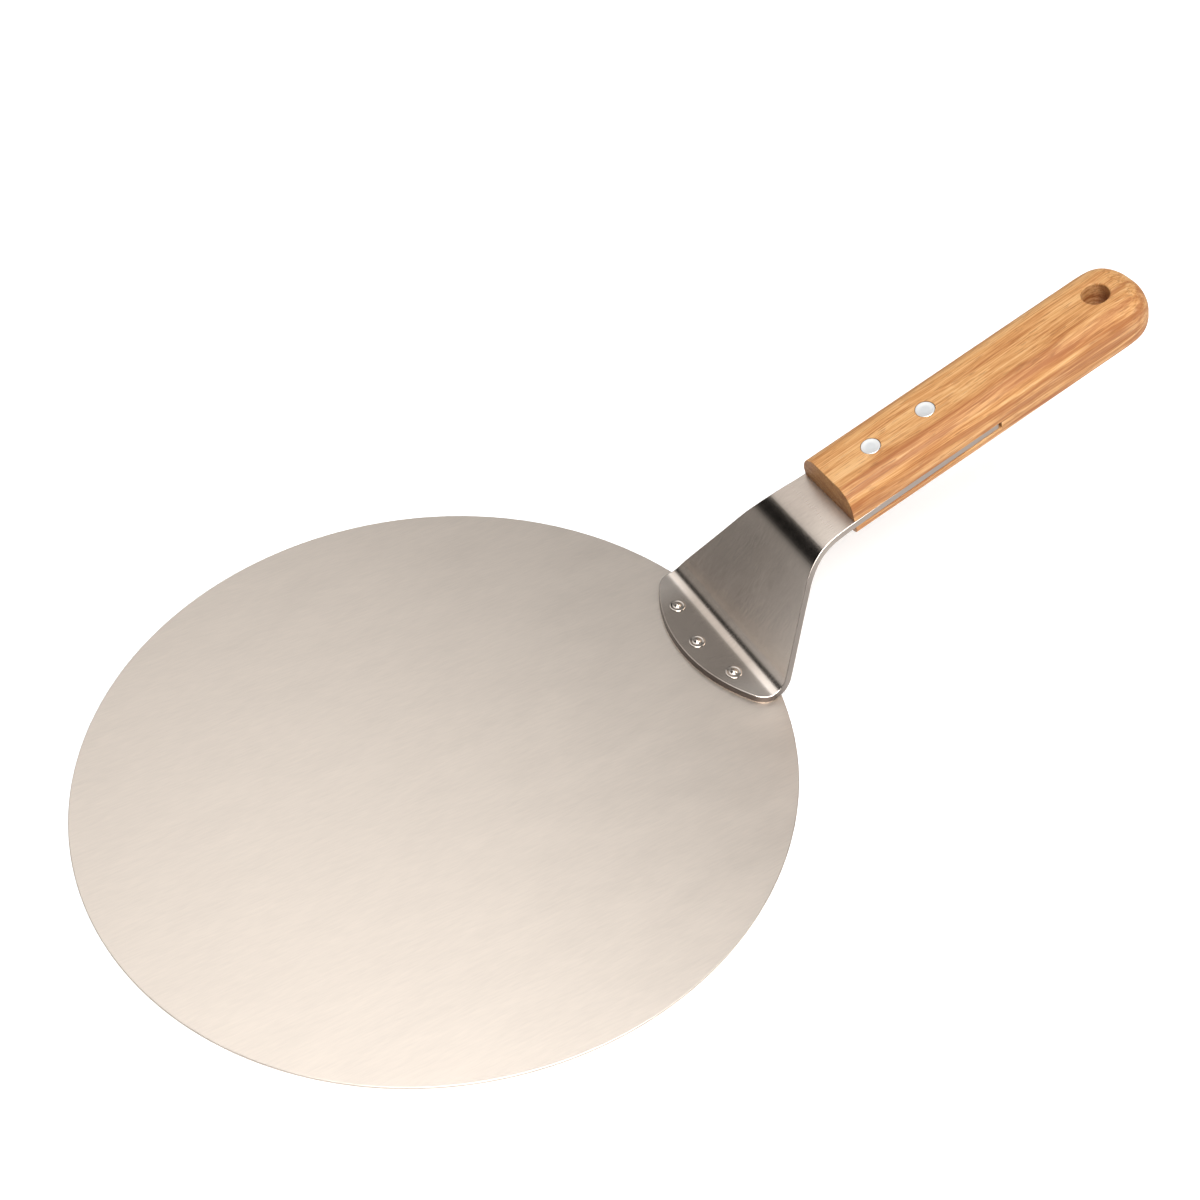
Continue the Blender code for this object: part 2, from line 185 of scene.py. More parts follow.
def lathe(profile, segments):
    """Points and faces of a solid turned about Z; the profile starts and ends on the axis."""
    points = [(0, 0, profile[0][1])]
    rings = []
    for radius, height in profile[1:-1]:
        rings.append(len(points))
        for i in range(segments):
            turn = 2 * math.pi * i / segments
            points.append((radius * math.cos(turn), radius * math.sin(turn), height))
    last = len(points)
    points.append((0, 0, profile[-1][1]))
    faces = []
    for i in range(segments):
        j = (i + 1) % segments
        faces.append((0, rings[0] + j, rings[0] + i))
        for low, high in zip(rings, rings[1:]):
            faces.append((low + i, low + j, high + j, high + i))
        faces.append((rings[-1] + i, rings[-1] + j, last))
    return points, faces


def arc(centre, radius, start, end, steps):
    """Points from one angle to another, in degrees, as (across, up)."""
    turns = [math.radians(start + (end - start) * i / steps) for i in range(steps + 1)]
    return [(centre[0] + radius * math.cos(t), centre[1] + radius * math.sin(t)) for t in turns]


def soft_min(a, b, blend):
    return 0.5 * (a + b - math.hypot(a - b, blend))


# Blade and its rivets.


def blade_disc(material):
    low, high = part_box("blade_disc")
    radius, thickness = (high.x - low.x) / 2, high.z - low.z
    ease = 0.3 * thickness
    profile = [(0, 0)]
    profile += arc((radius - ease, ease), ease, -90, 0, 5)
    profile += arc((radius - ease, thickness - ease), ease, 0, 90, 5)
    profile.append((0, thickness))
    disc = build_object("blade_disc_fine", *lathe(profile, 360))
    disc.location = ((low.x + high.x) / 2, (low.y + high.y) / 2, low.z)
    carve(disc, blade_rivet_hole_cutters())
    bake(disc)
    shade(disc, material)
    stand_for(disc, "blade_disc")


def blade_rivet_places():
    """Name to (x, y, underside, top) of each blade rivet."""
    places = {}
    for side in ("left", "centre", "right"):
        low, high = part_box("blade_rivet_" + side)
        places[side] = ((low.x + high.x) / 2, (low.y + high.y) / 2, low.z, high.z)
    return places


def flange_top():
    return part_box("blade_disc")[1].z + SEAT_GAP + SHEET_THICKNESS


def blade_rivet_hole_cutters():
    gap = HOLE_GAP
    cutters = []
    for side, (x, y, foot, _) in blade_rivet_places().items():
        profile = [
            (0, -0.001),
            (BLADE_RIVET_FOOT_RADIUS + gap, -0.001),
            (BLADE_RIVET_FOOT_RADIUS + gap, foot),
            (BLADE_RIVET_SHANK_RADIUS + gap, foot + BLADE_RIVET_FOOT_DEPTH),
            (BLADE_RIVET_SHANK_RADIUS + gap, flange_top() + 0.001),
            (0, flange_top() + 0.001),
        ]
        cutter = build_object("hole_cutter_" + side, *lathe(profile, 48))
        cutter.location = (x, y, 0)
        cutters.append(cutter)
    return cutters


def blade_rivets(material):
    """Ringed head with a nub in its middle, and a countersunk foot."""
    seat = flange_top() + SEAT_GAP
    shank, foot_radius = BLADE_RIVET_SHANK_RADIUS, BLADE_RIVET_FOOT_RADIUS
    for side, (x, y, foot, top) in blade_rivet_places().items():
        low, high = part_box("blade_rivet_" + side)
        head, rise = (high.x - low.x) / 2, top - seat
        profile = [(0, foot), (foot_radius, foot), (shank, foot + BLADE_RIVET_FOOT_DEPTH)]
        profile += [(shank, seat), (head, seat), (head, seat + 0.10 * rise)]
        for i in range(1, 40):
            share = 1 - i / 40
            profile.append((head * share, seat + rise * rivet_height(share)))
        profile.append((0, top))
        rivet = build_object("blade_rivet_" + side + "_fine", *lathe(profile, 64))
        rivet.location = (x, y, 0)
        bake(rivet)
        shade(rivet, material)
        stand_for(rivet, "blade_rivet_" + side)


def rivet_height(share):
    """Head's height, 0 to 1, at a share of its radius: a ring, a groove, then the nub."""
    ring = 0.13 * math.exp(-(((share - 0.84) / 0.13) ** 2))
    nub = 0.86 * math.exp(-((share / 0.36) ** 2.6))
    return 0.14 + ring + nub


# Neck bracket.


def bend_pieces(radius, by, steps, softness=0.0):
    """A bend as short (length, turn) pieces; with softness 1 it starts and ends gently."""
    length = radius * abs(by) * (1 + 0.4 * softness)
    turned = []
    for i in range(steps + 1):
        share = i / steps
        turned.append(by * (share + softness * (share**2 * (3 - 2 * share) - share)))
    return [(length / steps, after - before) for before, after in zip(turned, turned[1:])]


def corner_reach(pieces):
    """Length from where a bend starts to the corner where its two flats would meet."""
    x = z = angle = 0.0
    for length, by in pieces:
        x += length * math.cos(angle + by / 2)
        z += length * math.sin(angle + by / 2)
        angle += by
    return x - z / math.tan(angle)


def bracket_path():
    """Sheet's top line in side view: (length along it, x, z, slope angle) at each station."""
    turn = RISER_ANGLE - HANDLE_ANGLE
    first = bend_pieces(FIRST_BEND_RADIUS, RISER_ANGLE, FIRST_BEND_STEPS, FIRST_BEND_SOFTNESS)
    second = bend_pieces(SECOND_BEND_RADIUS, -turn, 48)
    before, after = corner_reach(first), corner_reach(second)
    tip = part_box("neck_bracket")[0].x
    stations = [(0.0, tip, flange_top(), 0.0)]

    def forward(length):
        run, x, z, angle = stations[-1]
        stations.append(
            (run + length, x + length * math.cos(angle), z + length * math.sin(angle), angle)
        )

    def bend(pieces):
        for length, by in pieces:
            run, x, z, angle = stations[-1]
            middle = angle + by / 2
            stations.append(
                (
                    run + length,
                    x + length * math.cos(middle),
                    z + length * math.sin(middle),
                    angle + by,
                )
            )

    forward(FIRST_BEND_X - before - tip)
    bend(first)
    forward(RISER_LENGTH - before - after)
    bend(second)
    forward(TANG_END - after)
    return stations


def on_path(stations, run, depth):
    """Point in side view at a length along the top line and a depth below it."""
    for low, high in zip(stations, stations[1:]):
        if run <= high[0] + 1e-12:
            break
    share = (run - low[0]) / (high[0] - low[0])
    x, z, angle = (low[k] + (high[k] - low[k]) * share for k in (1, 2, 3))
    return x + depth * math.sin(angle), z - depth * math.cos(angle)


def flange_outline():
    """Right half of the flange's curved edge as (length, half-width), tip first."""
    big, small = FLANGE_ARC_RADIUS, FLANGE_CORNER_RADIUS
    corner_y = FLANGE_HALF_WIDTH - small
    corner_x = big - math.sqrt((big - small) ** 2 - corner_y**2)
    reach = math.atan2(corner_y, big - corner_x)
    outline = []
    for i in range(49):
        turn = reach * i / 48
        outline.append((big - big * math.cos(turn), big * math.sin(turn)))
    for i in range(1, 17):
        turn = reach + (math.pi / 2 - reach) * i / 16
        outline.append((corner_x - small * math.cos(turn), corner_y + small * math.sin(turn)))
    return outline


def sheet_half_width(stations, run):
    """Half-width of the riser and the tang at a length from the flange's tip."""
    riser_start = stations[1 + FIRST_BEND_STEPS][0]
    first = bend_pieces(FIRST_BEND_RADIUS, RISER_ANGLE, FIRST_BEND_STEPS, FIRST_BEND_SOFTNESS)
    crease = riser_start - corner_reach(first)
    taper = RISER_BASE_HALF_WIDTH - RISER_TAPER * (run - crease) - TANG_HALF_WIDTH
    width = TANG_HALF_WIDTH + 0.5 * (taper + math.hypot(taper, TANG_TAPER_BLEND))
    return soft_min(width, FLANGE_HALF_WIDTH, 0.0012)


def sheet_outline(stations):
    """Right half of the flat pattern, from the flange's tip to the tang's end."""
    outline = flange_outline()
    end, small = stations[-1][0], TANG_CORNER_RADIUS
    start = outline[-1][0]
    runs = {s[0] for s in stations[1:-1]} | {start + 0.001 * i for i in range(1, 80)}
    last = start
    for run in sorted(runs):
        if last + 0.0001 < run < end - 2 * small:
            outline.append((run, sheet_half_width(stations, run)))
            last = run
    for i in range(9):
        turn = math.pi / 2 * i / 8
        outline.append(
            (end - small + small * math.sin(turn), TANG_HALF_WIDTH - small + small * math.cos(turn))
        )
    return outline


def inset(outline, amount):
    """The outline moved inwards by an amount, with the same number of points."""
    moved = []
    for i, (run, width) in enumerate(outline):
        before = outline[max(i - 1, 0)]
        after = outline[min(i + 1, len(outline) - 1)]
        along, across = after[0] - before[0], after[1] - before[1]
        if i == 0:
            along, across = 0.0, 1.0
        if i == len(outline) - 1:
            along, across = 0.0, -1.0
        length = math.hypot(along, across)
        moved.append((run + amount * across / length, width - amount * along / length))
    moved[0] = (moved[0][0], 0.0)
    return moved


def sheet_edge_levels():
    """(inset, depth) round the sheet's cut edge, underside first."""
    low, high = SHEET_BOTTOM_EASE, SHEET_TOP_EASE
    levels = []
    for across, up in arc((0, 0), 1, -90, 0, 4):
        levels.append((low * (1 - across), SHEET_THICKNESS - low * (1 + up)))
    for across, up in arc((0, 0), 1, 0, 90, 6):
        levels.append((high * (1 - across), high * (1 - up)))
    return levels


def neck_bracket(material):
    stations = bracket_path()
    outline = sheet_outline(stations)
    points, rings = [], []
    count = len(outline)
    for amount, depth in sheet_edge_levels():
        rings.append(len(points))
        edge = inset(outline, amount)
        for sign, part in ((-1, edge), (1, edge[:0:-1])):
            for run, width in part:
                x, z = on_path(stations, run, depth)
                points.append((x, sign * width, z))
    size = 2 * count - 1
    faces = []
    for low, high in zip(rings, rings[1:]):
        for i in range(size):
            j = (i + 1) % size
            faces.append((low + i, low + j, high + j, high + i))
    for ring, turned in ((rings[0], False), (rings[-1], True)):
        for i in range(count - 1):
            right, left = ring + i, ring + (size - i) % size
            next_right, next_left = ring + i + 1, ring + size - i - 1
            face = [right, next_right, next_left, left]
            if i == 0:
                face.remove(left)
            faces.append(tuple(face[::-1] if turned else face))
    bracket = build_object("neck_bracket_fine", points, faces)
    carve(bracket, blade_rivet_hole_cutters() + handle_rivet_hole_cutters())
    shade(bracket, material)
    write_sheet_coordinates(bracket, stations)
    stand_for(bracket, "neck_bracket")


def write_sheet_coordinates(bracket, stations):
    """Each point's place on the flat pattern, so that the brushing follows the bends."""
    line = np.array([(run, x, z) for run, x, z, _ in stations])
    places = np.array([v.co for v in bracket.data.vertices])
    values = np.zeros((len(places), 3), np.float32)
    best = np.full(len(places), 1e9)
    for (run, x, z), (next_run, next_x, next_z) in zip(line, line[1:]):
        along = np.array((next_x - x, next_z - z))
        offset = places[:, (0, 2)] - (x, z)
        share = np.clip(offset @ along / (along @ along), 0, 1)
        distance = np.linalg.norm(offset - share[:, None] * along, axis=1)
        nearer = distance < best
        best[nearer] = distance[nearer]
        values[nearer, 0] = (run + (next_run - run) * share)[nearer]
        values[nearer, 2] = distance[nearer]
    values[:, 1] = places[:, 1]
    attribute = bracket.data.attributes.new("sheet", "FLOAT_VECTOR", "POINT")
    attribute.data.foreach_set("vector", values.ravel())


# Handle and its rivets.


def handle_matrix():
    """The handle's own frame: its X runs along the tang's top."""
    x = FIRST_BEND_X + RISER_LENGTH * math.cos(RISER_ANGLE)
    z = flange_top() + RISER_LENGTH * math.sin(RISER_ANGLE)
    return Matrix.Translation((x, 0, z)) @ Matrix.Rotation(-HANDLE_ANGLE, 4, "Y")


def handle_section(half, above, below, top_radius, bottom_radius):
    """Closed rounded outline as (y, z) with the tang's top at z = 0, mirrored about y = 0."""
    right = []
    right += arc((half - top_radius, above - top_radius), top_radius, 90, 0, 20)
    right += arc((half - bottom_radius, bottom_radius - below), bottom_radius, 0, -90, 14)
    return right + [(-y, z) for y, z in reversed(right)]


def handle_ring(run, width=1.0, lost=0.0, ease=0.0):
    half = HANDLE_HALF_WIDTH * width - ease
    above = HANDLE_ABOVE_TANG - lost - ease
    below = HANDLE_BELOW_TANG + SHEET_THICKNESS - 0.8 * lost - ease
    top = soft_min(HANDLE_TOP_RADIUS - ease, 0.96 * min(half, above), 0.0006)
    bottom = soft_min(HANDLE_BOTTOM_RADIUS - ease, 0.96 * min(half, below), 0.0006)
    return [(run, y, z) for y, z in handle_section(half, above, below, top, bottom)]


def lean_back(ring, share):
    """Leans the front face back above and below the tang."""
    leaned = []
    for run, y, z in ring:
        back = HANDLE_FRONT_LEAN * max(z, 0) / HANDLE_ABOVE_TANG
        back += 0.35 * HANDLE_FRONT_LEAN * max(-z, 0) / HANDLE_BELOW_TANG
        leaned.append((run + back * share, y, z))
    return leaned


def handle_rings():
    rings = []
    for across, up in arc((0, 0), HANDLE_FRONT_EASE, 180, 90, 6):
        run = HANDLE_FRONT + HANDLE_FRONT_EASE + across
        rings.append(lean_back(handle_ring(run, ease=HANDLE_FRONT_EASE - up), 1.0))
    straight = HANDLE_BUTT - BUTT_ROUNDING
    for share in (0.04, 0.2, 0.4, 0.6, 0.8):
        rings.append(handle_ring(HANDLE_FRONT + (straight - HANDLE_FRONT) * share))
    power = 2 / BUTT_SQUARENESS
    for i in range(49):
        turn = math.pi / 2 * min(i / 48, 0.9985)
        run = straight + BUTT_ROUNDING * math.sin(turn) ** power
        near = max(0.0, 1 - (HANDLE_BUTT - run) / BUTT_EDGE_ROUNDING)
        lost = 0.8 * BUTT_EDGE_ROUNDING * (1 - math.sqrt(1 - near**2))
        rings.append(handle_ring(run, math.cos(turn) ** power, lost))
    return rings


def handle(material):
    rings = handle_rings()
    size = len(rings[0])
    points = [point for ring in rings for point in ring]
    faces = []
    for level in range(len(rings) - 1):
        low, high = level * size, (level + 1) * size
        for i in range(size):
            j = (i + 1) % size
            faces.append((low + i, high + i, high + j, low + j))
    last = (len(rings) - 1) * size
    for i in range(size // 2 - 1):
        faces.append((i, i + 1, size - 2 - i, size - 1 - i))
        faces.append((last + size - 1 - i, last + size - 2 - i, last + i + 1, last + i))
    grip = build_object("handle_fine", points, faces)
    grip.matrix_world = handle_matrix()
    carve(grip, [slot_cutter(), hang_hole_cutter()] + handle_rivet_hole_cutters())
    bake(grip)
    shade(grip, material, 30)
    stand_for(grip, "handle")


def slot_cutter():
    """Sawn slot for the tang, open at the front and sides, with softly broken long edges."""
    low, high, ease = -SHEET_THICKNESS - SLOT_GAP, SLOT_GAP, SLOT_EDGE_EASE
    half, reach = HANDLE_HALF_WIDTH, HANDLE_HALF_WIDTH + 0.003
    right = arc((half - ease, high + ease), ease, -90, 0, 5)
    right.append((reach, high + ease))
    lower = [(y, low - (z - high)) for y, z in reversed(right)]
    section = right + lower
    section += [(-y, z) for y, z in reversed(section)]
    points = [(x, y, z) for x in (HANDLE_FRONT - 0.004, SLOT_END) for y, z in section]
    size = len(section)
    faces = [(i, (i + 1) % size, size + (i + 1) % size, size + i) for i in range(size)]
    faces += [tuple(range(size)), tuple(range(2 * size - 1, size - 1, -1))]
    cutter = build_object("slot_cutter", points, faces)
    cutter.matrix_world = handle_matrix()
    return cutter


def hang_hole_cutter():
    radius, ease = HANG_HOLE_RADIUS, HANG_HOLE_EASE
    top, bottom = HANDLE_ABOVE_TANG, -HANDLE_BELOW_TANG - SHEET_THICKNESS
    profile = [(0, bottom - 0.001), (radius + ease, bottom - 0.001)]
    profile += arc((radius + ease, bottom + ease), ease, -90, -180, 8)
    profile += arc((radius + ease, top - ease), ease, 180, 90, 8)
    profile += [(radius + ease, top + 0.001), (0, top + 0.001)]
    cutter = build_object("hang_hole_cutter", *lathe(profile, 96))
    cutter.matrix_world = handle_matrix() @ Matrix.Translation((HANG_HOLE_STATION, 0, 0))
    return cutter


def handle_rivet_hole_cutters():
    """Through holes with a counterbore for each flush head."""
    gap = HOLE_GAP
    top, bottom = HANDLE_ABOVE_TANG, -HANDLE_BELOW_TANG - SHEET_THICKNESS
    seat = HANDLE_RIVET_HEAD_RECESS + HANDLE_RIVET_HEAD_THICKNESS + gap
    head, tube = HANDLE_RIVET_HEAD_RADIUS + gap, HANDLE_RIVET_TUBE_RADIUS + gap
    profile = [
        (0, bottom - 0.001),
        (head, bottom - 0.001),
        (head, bottom + seat),
        (tube, bottom + seat),
        (tube, top - seat),
        (head, top - seat),
        (head, top + 0.001),
        (0, top + 0.001),
    ]
    cutters = []
    for name, station in HANDLE_RIVET_STATIONS.items():
        cutter = build_object("rivet_hole_cutter_" + name, *lathe(profile, 64))
        cutter.matrix_world = handle_matrix() @ Matrix.Translation((station, 0, 0))
        cutters.append(cutter)
    return cutters


def handle_rivets(materials):
    """Upper half is a headed tube; lower half is a headed pin that fills the tube."""
    top = HANDLE_ABOVE_TANG - HANDLE_RIVET_HEAD_RECESS
    bottom = HANDLE_RIVET_HEAD_RECESS - HANDLE_BELOW_TANG - SHEET_THICKNESS
    head, thick = HANDLE_RIVET_HEAD_RADIUS, HANDLE_RIVET_HEAD_THICKNESS
    tube, pin = HANDLE_RIVET_TUBE_RADIUS, HANDLE_RIVET_PIN_RADIUS
    bore = pin + HOLE_GAP
    ease = 0.0003
    dish = []
    for share in (0.9, 0.8, 0.7, 0.6, 0.5, 0.4, 0.3, 0.15):
        dip = 1 - math.cos(math.pi * min(1, 1.6 * (1 - share)))
        dish.append((head * share, HANDLE_RIVET_HEAD_DISH * dip / 2))
    upper = [(0, top - thick), (bore, top - thick), (bore, bottom + thick + 0.0002)]
    upper += [(tube, bottom + thick + 0.0002), (tube, top - thick), (head, top - thick)]
    upper += arc((head - ease, top - ease), ease, 0, 90, 5)
    upper += [(radius, top - deep) for radius, deep in dish] + [(0, top - dish[-1][1])]
    lower = [(0, bottom + dish[-1][1])]
    lower += [(radius, bottom + deep) for radius, deep in reversed(dish)]
    lower += arc((head - ease, bottom + ease), ease, -90, 0, 5)
    lower += [(head, bottom + thick), (pin, bottom + thick)]
    lower += [(pin, top - thick - 0.0010), (0, top - thick - 0.0010)]
    for name, station in HANDLE_RIVET_STATIONS.items():
        for half, profile in (("tube", upper), ("pin", lower)):
            node = "handle_rivet_" + name + "_" + half
            piece = build_object(node + "_fine", *lathe(profile, 64))
            piece.matrix_world = handle_matrix() @ Matrix.Translation((station, 0, 0))
            bake(piece)
            shade(piece, materials[half])
            stand_for(piece, node)


# Materials.


class Nodes:
    """Adds nodes to a material and links them in one call each."""

    def __init__(self, name):
        self.material = bpy.data.materials.new(name)
        self.material.use_nodes = True
        self.tree = self.material.node_tree
        self.shader = self.tree.nodes["Principled BSDF"]

    def add(self, kind, inputs=(), **settings):
        node = self.tree.nodes.new(kind)
        for key, value in settings.items():
            setattr(node, key, value)
        for key, value in dict(inputs).items():
            self.put(node.inputs[key], value)
        return node

    def put(self, socket, value):
        if isinstance(value, bpy.types.NodeSocket):
            self.tree.links.new(value, socket)
        else:
            socket.default_value = value

    def attribute(self, name):
        return self.add("ShaderNodeAttribute", attribute_name=name).outputs["Vector"]

    def math(self, operation, first, second=0.5, third=0.5):
        inputs = {0: first, 1: second, 2: third}
        return self.add("ShaderNodeMath", inputs, operation=operation).outputs[0]

    def vector_math(self, operation, first, second=(0, 0, 0)):
        node = self.add("ShaderNodeVectorMath", {0: first, 1: second}, operation=operation)
        return node.outputs["Value" if operation in ("LENGTH", "DOT_PRODUCT") else "Vector"]

    def noise(self, place, size, detail=2.0, roughness=0.5, colour=False):
        """Noise whose features are about size = (x, y, z) metres."""
        scale = tuple(1 / length for length in size)
        scaled = self.vector_math("MULTIPLY", place, scale)
        inputs = {"Vector": scaled, "Scale": 1.0, "Detail": detail, "Roughness": roughness}
        node = self.add("ShaderNodeTexNoise", inputs, noise_dimensions="3D")
        return node.outputs["Color" if colour else "Fac"]

    def remap(self, value, low, high, to_low=0.0, to_high=1.0):
        inputs = {"Value": value, 1: low, 2: high, 3: to_low, 4: to_high}
        return self.add("ShaderNodeMapRange", inputs, clamp=True).outputs[0]

    def mix(self, share, first, second):
        node = self.add("ShaderNodeMix", data_type="RGBA")
        self.put(node.inputs[0], share)
        self.put(node.inputs[6], first)
        self.put(node.inputs[7], second)
        return node.outputs[2]

    def ramp(self, value, stops):
        node = self.add("ShaderNodeValToRGB", {"Fac": value})
        elements = node.color_ramp.elements
        for _ in stops[2:]:
            elements.new(0.5)
        for element, (place, colour) in zip(elements, stops):
            element.position = place
            element.color = (*colour, 1.0)
        return node.outputs["Color"]

    def bump(self, height, distance, strength=1.0):
        inputs = {"Height": height, "Distance": distance, "Strength": strength}
        return self.add("ShaderNodeBump", inputs).outputs["Normal"]

    def finish(self, **sockets):
        for key, value in sockets.items():
            self.put(self.shader.inputs[key.replace("_", " ")], value)
        return self.material


def brushed(nodes, place, tint, roughness, streak, contrast, relief=0.000008):
    """Colour, roughness and relief of fine brushing along X under a soft cloudy tone."""
    fine = nodes.noise(place, streak, detail=3.0, roughness=0.6)
    cloud = nodes.noise(place, (0.030, 0.012, 0.012), detail=3.0, roughness=0.6)
    tone = nodes.math("MULTIPLY_ADD", fine, 0.60, nodes.math("MULTIPLY", cloud, 0.40))
    dark = tuple(c * (1 - contrast) for c in tint) + (1.0,)
    light = tuple(min(1.0, c * (1 + contrast)) for c in tint) + (1.0,)
    colour = nodes.mix(nodes.remap(tone, 0.32, 0.68), dark, light)
    rough = nodes.remap(tone, 0.3, 0.7, roughness - 0.03, roughness + 0.03)
    return colour, rough, nodes.bump(fine, relief)


def brushed_steel(name, tint, roughness, streak=(0.006, 0.0006, 0.0006), contrast=0.04):
    nodes = Nodes(name)
    colour, rough, normal = brushed(
        nodes, nodes.attribute("own"), tint, roughness, streak, contrast
    )
    return nodes.finish(Base_Color=colour, Metallic=1.0, Roughness=rough, Normal=normal)


def neck_painted_highlights(nodes, run, across, crease_run):
    """Painted highlights: where the neck's colour is made lighter to stand in for reflected light,
    at both ends of the flange and on the riser's right side.
    """
    on_flange = nodes.remap(run, crease_run + 0.001, crease_run - 0.003)
    flange_end = nodes.remap(nodes.math("ABSOLUTE", across), 0.018, 0.031, 0.0, 0.95)
    riser_right = nodes.remap(across, 0.002, -0.028, 0.0, 0.38)
    light = nodes.math("MULTIPLY", on_flange, flange_end)
    off_flange = nodes.math("SUBTRACT", 1.0, on_flange)
    return nodes.math("MULTIPLY_ADD", off_flange, riser_right, light)


def neck_cut_edge(nodes, depth):
    """1 on the sheet's cut edge, 0 on its two faces."""
    below_top = nodes.remap(depth, 0.00005, 0.0003)
    above_bottom = nodes.remap(depth, SHEET_THICKNESS - 0.0001, SHEET_THICKNESS - 0.0003)
    return nodes.math("MULTIPLY", below_top, above_bottom)


def neck_steel():
    """Steel whose brushing follows the bends, rougher at the crease and beside the handle.

    Its cut edge is a dull sheared finish, made near black along the flange as painted shade. Both
    ends of the flange and the riser's right side carry painted highlights.
    """
    nodes = Nodes("neck_steel_fine")
    place = nodes.attribute("sheet")
    crease_run = FIRST_BEND_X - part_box("neck_bracket")[0].x
    colour, rough, normal = brushed(
        nodes, place, (0.60, 0.515, 0.445), 0.17, (0.004, 0.0005, 0.0005), 0.09, 0.000004
    )
    run, across, depth = nodes.add("ShaderNodeSeparateXYZ", {0: place}).outputs
    # Painted highlights: these areas are mixed towards a pale colour.
    light = neck_painted_highlights(nodes, run, across, crease_run)
    colour = nodes.mix(light, colour, (0.98, 0.88, 0.79, 1.0))
    cut = neck_cut_edge(nodes, depth)
    # Painted shade: along the flange the cut edge is near black, as if in the shadow of its gap to
    # the blade; beyond the flange it keeps the dull sheared colour.
    beyond_flange = nodes.remap(run, crease_run - 0.004, crease_run + 0.005)
    cut_colour = nodes.mix(beyond_flange, (0.12, 0.10, 0.09, 1.0), (0.52, 0.45, 0.40, 1.0))
    colour = nodes.mix(cut, colour, cut_colour)
    rough = nodes.math("MULTIPLY_ADD", cut, 0.22, rough)
    from_crease = nodes.math("ABSOLUTE", nodes.math("SUBTRACT", run, crease_run))
    rough = nodes.math("ADD", rough, nodes.remap(from_crease, 0.001, 0.007, 0.09, 0.0))
    beside_handle = nodes.remap(run, crease_run + 0.051, crease_run + 0.062, 0.0, 0.16)
    rough = nodes.math("ADD", rough, beside_handle)
    return nodes.finish(Base_Color=colour, Metallic=1.0, Roughness=rough, Normal=normal)


def turned_aluminium(name, tint, roughness):
    """Rivet heads: faint turned rings and small handling marks."""
    nodes = Nodes(name)
    place = nodes.attribute("own")
    radius = nodes.vector_math("LENGTH", nodes.vector_math("MULTIPLY", place, (1, 1, 0)))
    rings = nodes.math("SINE", nodes.math("MULTIPLY", radius, 2 * math.pi / 0.00035))
    marks = nodes.noise(place, (0.0012, 0.0012, 0.0012), detail=4.0, roughness=0.65)
    centre = nodes.remap(radius, 0.0014, 0.0024, 0.72, 1.0)
    shade_of = nodes.math("MULTIPLY", nodes.remap(marks, 0.3, 0.7, 0.94, 1.0), centre)
    colour = nodes.mix(shade_of, (0.55, 0.60, 0.64, 1.0), (*tint, 1.0))
    rough = nodes.remap(marks, 0.3, 0.7, roughness - 0.06, roughness + 0.06)
    height = nodes.math("ADD", nodes.math("MULTIPLY", rings, 0.25), marks)
    return nodes.finish(
        Base_Color=colour, Metallic=1.0, Roughness=rough, Normal=nodes.bump(height, 0.00001)
    )


def wood_end_grain_and_shade(nodes, place, height):
    """How dark the front face is: partly the end grain's own darker colour, partly painted shade,
    which is strongest beside the tang.
    """
    facing = nodes.add("ShaderNodeTexCoord").outputs["Normal"]
    forward = (-math.cos(HANDLE_ANGLE), 0, -math.sin(HANDLE_ANGLE))
    on_front = nodes.remap(nodes.vector_math("DOT_PRODUCT", facing, forward), 0.75, 0.98)
    # Painted shade: darker the nearer the tang, above and below it.
    painted_tang_shade = nodes.remap(nodes.math("ABSOLUTE", height), 0.0, HANDLE_ABOVE_TANG, 0.95, 0.60)
    speckle = nodes.noise(place, (0.0007, 0.0007, 0.0007), detail=3.0, roughness=0.65)
    end_grain_and_shade = nodes.math("MULTIPLY", painted_tang_shade, nodes.remap(speckle, 0.35, 0.65, 0.65, 1.0))
    return nodes.math("MULTIPLY", on_front, end_grain_and_shade)


